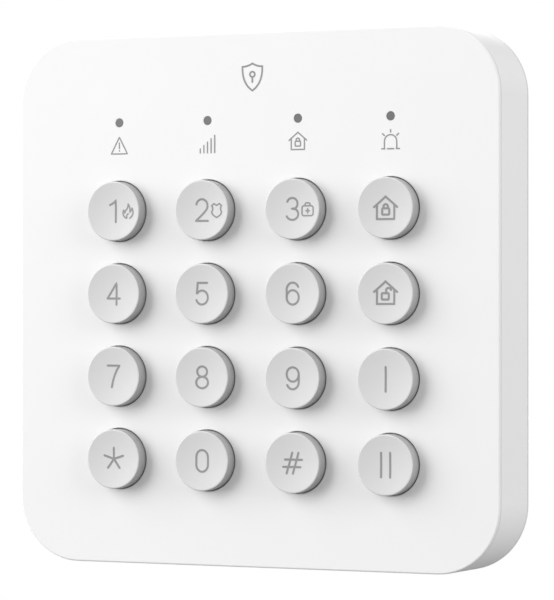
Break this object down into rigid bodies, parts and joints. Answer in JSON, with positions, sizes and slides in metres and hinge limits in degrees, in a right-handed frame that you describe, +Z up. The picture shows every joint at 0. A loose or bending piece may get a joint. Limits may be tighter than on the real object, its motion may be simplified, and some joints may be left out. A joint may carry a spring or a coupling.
{
  "type": "alarm keypad panel",
  "caption": "Square wall-mounted alarm keypad: rounded box with round push keys, status lights, a hooked wall plate and a battery bay behind.",
  "frame": {"origin": "centre of the wall plate's rear face, which lies on the wall", "axes": "+X to the right as a user sees the panel, +Z up, the panel faces -Y and +Y goes into the wall"},
  "size_m": [0.1208, 0.023, 0.1208],
  "materials": {
    "shell_plastic": "fine satin white",
    "rear_plastic": "fine satin white",
    "plate_plastic": "fine satin white",
    "key_plastic": "satin pale grey",
    "lens_plastic": "smoked, polished",
    "plunger_plastic": "satin black",
    "slider_plastic": "satin black",
    "silicone": "translucent grey silicone",
    "pill_rubber": "carbon-filled, matt",
    "board_laminate": "green solder mask",
    "pad_gold": "gold-plated",
    "led_package": "clear over pale body",
    "chip_epoxy": "moulded black epoxy",
    "capacitor_sleeve": "shrunk sleeve",
    "can_steel": "tinned, satin",
    "contact_steel": "nickel-plated",
    "spring_steel": "drawn wire",
    "screw_steel": "zinc-plated",
    "cell_jacket": "printed metal jacket"
  },
  "bodies": {
    "wall_plate": {"wall_plate": "plate_plastic"},
    "housing": {"front_housing": "shell_plastic", "rear_housing": "rear_plastic", "case_screws": "screw_steel", "circuit_board": "board_laminate", "board_screws": "screw_steel", "key_contact_pads": "pad_gold", "dome_mat": "silicone", "status_leds": "led_package", "light_pipes": "lens_plastic", "processor_chip": "chip_epoxy", "radio_module": "can_steel", "clock_crystal": "can_steel", "capacitors": "capacitor_sleeve", "buzzer": "chip_epoxy", "antenna": "spring_steel", "tamper_switch": "chip_epoxy", "tamper_spring": "spring_steel", "power_switch": "can_steel", "battery_cells": "cell_jacket", "battery_springs": "spring_steel", "battery_contacts": "contact_steel"},
    "lock_screw": {"lock_screw": "screw_steel"},
    "tamper_plunger": {"tamper_plunger": "plunger_plastic"},
    "power_switch_slider": {"power_switch_slider": "slider_plastic"},
    "key_1": {"key_1": "key_plastic", "contact_pill_1": "pill_rubber"},
    "key_2": {"key_2": "key_plastic", "contact_pill_2": "pill_rubber"},
    "key_3": {"key_3": "key_plastic", "contact_pill_3": "pill_rubber"},
    "key_arm": {"key_arm": "key_plastic", "contact_pill_arm": "pill_rubber"},
    "key_4": {"key_4": "key_plastic", "contact_pill_4": "pill_rubber"},
    "key_5": {"key_5": "key_plastic", "contact_pill_5": "pill_rubber"},
    "key_6": {"key_6": "key_plastic", "contact_pill_6": "pill_rubber"},
    "key_disarm": {"key_disarm": "key_plastic", "contact_pill_disarm": "pill_rubber"},
    "key_7": {"key_7": "key_plastic", "contact_pill_7": "pill_rubber"},
    "key_8": {"key_8": "key_plastic", "contact_pill_8": "pill_rubber"},
    "key_9": {"key_9": "key_plastic", "contact_pill_9": "pill_rubber"},
    "key_function_1": {"key_function_1": "key_plastic", "contact_pill_function_1": "pill_rubber"},
    "key_star": {"key_star": "key_plastic", "contact_pill_star": "pill_rubber"},
    "key_0": {"key_0": "key_plastic", "contact_pill_0": "pill_rubber"},
    "key_hash": {"key_hash": "key_plastic", "contact_pill_hash": "pill_rubber"},
    "key_function_2": {"key_function_2": "key_plastic", "contact_pill_function_2": "pill_rubber"}
  },
  "joints": [
    {"name": "housing_swing", "type": "hinge", "parent": "wall_plate", "child": "housing", "pos_m": [0, -0.00415, 0.051], "axis": [-1, 0, 0], "range_deg": [0, 15]},
    {"name": "lock_screw_drive", "type": "slide", "parent": "housing", "child": "lock_screw", "axis": [0, 0, 1], "range_m": [0, 0.0028]},
    {"name": "tamper_plunger_press", "type": "slide", "parent": "housing", "child": "tamper_plunger", "axis": [0, -1, 0], "range_m": [0, 0.0011], "stiffness_N_per_m": 150, "springref_m": -0.003, "deforming": ["tamper_spring"]},
    {"name": "power_switch_slide", "type": "slide", "parent": "housing", "child": "power_switch_slider", "axis": [0, 0, 1], "range_m": [0, 0.002]},
    {"name": "key_1_press", "type": "slide", "parent": "housing", "child": "key_1", "axis": [0, 1, 0], "range_m": [0, 0.001], "stiffness_N_per_m": 400, "springref_m": -0.0015, "deforming": ["dome_mat"]},
    {"name": "key_2_press", "type": "slide", "parent": "housing", "child": "key_2", "axis": [0, 1, 0], "range_m": [0, 0.001], "stiffness_N_per_m": 400, "springref_m": -0.0015, "deforming": ["dome_mat"]},
    {"name": "key_3_press", "type": "slide", "parent": "housing", "child": "key_3", "axis": [0, 1, 0], "range_m": [0, 0.001], "stiffness_N_per_m": 400, "springref_m": -0.0015, "deforming": ["dome_mat"]},
    {"name": "key_arm_press", "type": "slide", "parent": "housing", "child": "key_arm", "axis": [0, 1, 0], "range_m": [0, 0.001], "stiffness_N_per_m": 400, "springref_m": -0.0015, "deforming": ["dome_mat"]},
    {"name": "key_4_press", "type": "slide", "parent": "housing", "child": "key_4", "axis": [0, 1, 0], "range_m": [0, 0.001], "stiffness_N_per_m": 400, "springref_m": -0.0015, "deforming": ["dome_mat"]},
    {"name": "key_5_press", "type": "slide", "parent": "housing", "child": "key_5", "axis": [0, 1, 0], "range_m": [0, 0.001], "stiffness_N_per_m": 400, "springref_m": -0.0015, "deforming": ["dome_mat"]},
    {"name": "key_6_press", "type": "slide", "parent": "housing", "child": "key_6", "axis": [0, 1, 0], "range_m": [0, 0.001], "stiffness_N_per_m": 400, "springref_m": -0.0015, "deforming": ["dome_mat"]},
    {"name": "key_disarm_press", "type": "slide", "parent": "housing", "child": "key_disarm", "axis": [0, 1, 0], "range_m": [0, 0.001], "stiffness_N_per_m": 400, "springref_m": -0.0015, "deforming": ["dome_mat"]},
    {"name": "key_7_press", "type": "slide", "parent": "housing", "child": "key_7", "axis": [0, 1, 0], "range_m": [0, 0.001], "stiffness_N_per_m": 400, "springref_m": -0.0015, "deforming": ["dome_mat"]},
    {"name": "key_8_press", "type": "slide", "parent": "housing", "child": "key_8", "axis": [0, 1, 0], "range_m": [0, 0.001], "stiffness_N_per_m": 400, "springref_m": -0.0015, "deforming": ["dome_mat"]},
    {"name": "key_9_press", "type": "slide", "parent": "housing", "child": "key_9", "axis": [0, 1, 0], "range_m": [0, 0.001], "stiffness_N_per_m": 400, "springref_m": -0.0015, "deforming": ["dome_mat"]},
    {"name": "key_function_1_press", "type": "slide", "parent": "housing", "child": "key_function_1", "axis": [0, 1, 0], "range_m": [0, 0.001], "stiffness_N_per_m": 400, "springref_m": -0.0015, "deforming": ["dome_mat"]},
    {"name": "key_star_press", "type": "slide", "parent": "housing", "child": "key_star", "axis": [0, 1, 0], "range_m": [0, 0.001], "stiffness_N_per_m": 400, "springref_m": -0.0015, "deforming": ["dome_mat"]},
    {"name": "key_0_press", "type": "slide", "parent": "housing", "child": "key_0", "axis": [0, 1, 0], "range_m": [0, 0.001], "stiffness_N_per_m": 400, "springref_m": -0.0015, "deforming": ["dome_mat"]},
    {"name": "key_hash_press", "type": "slide", "parent": "housing", "child": "key_hash", "axis": [0, 1, 0], "range_m": [0, 0.001], "stiffness_N_per_m": 400, "springref_m": -0.0015, "deforming": ["dome_mat"]},
    {"name": "key_function_2_press", "type": "slide", "parent": "housing", "child": "key_function_2", "axis": [0, 1, 0], "range_m": [0, 0.001], "stiffness_N_per_m": 400, "springref_m": -0.0015, "deforming": ["dome_mat"]}
  ]
}
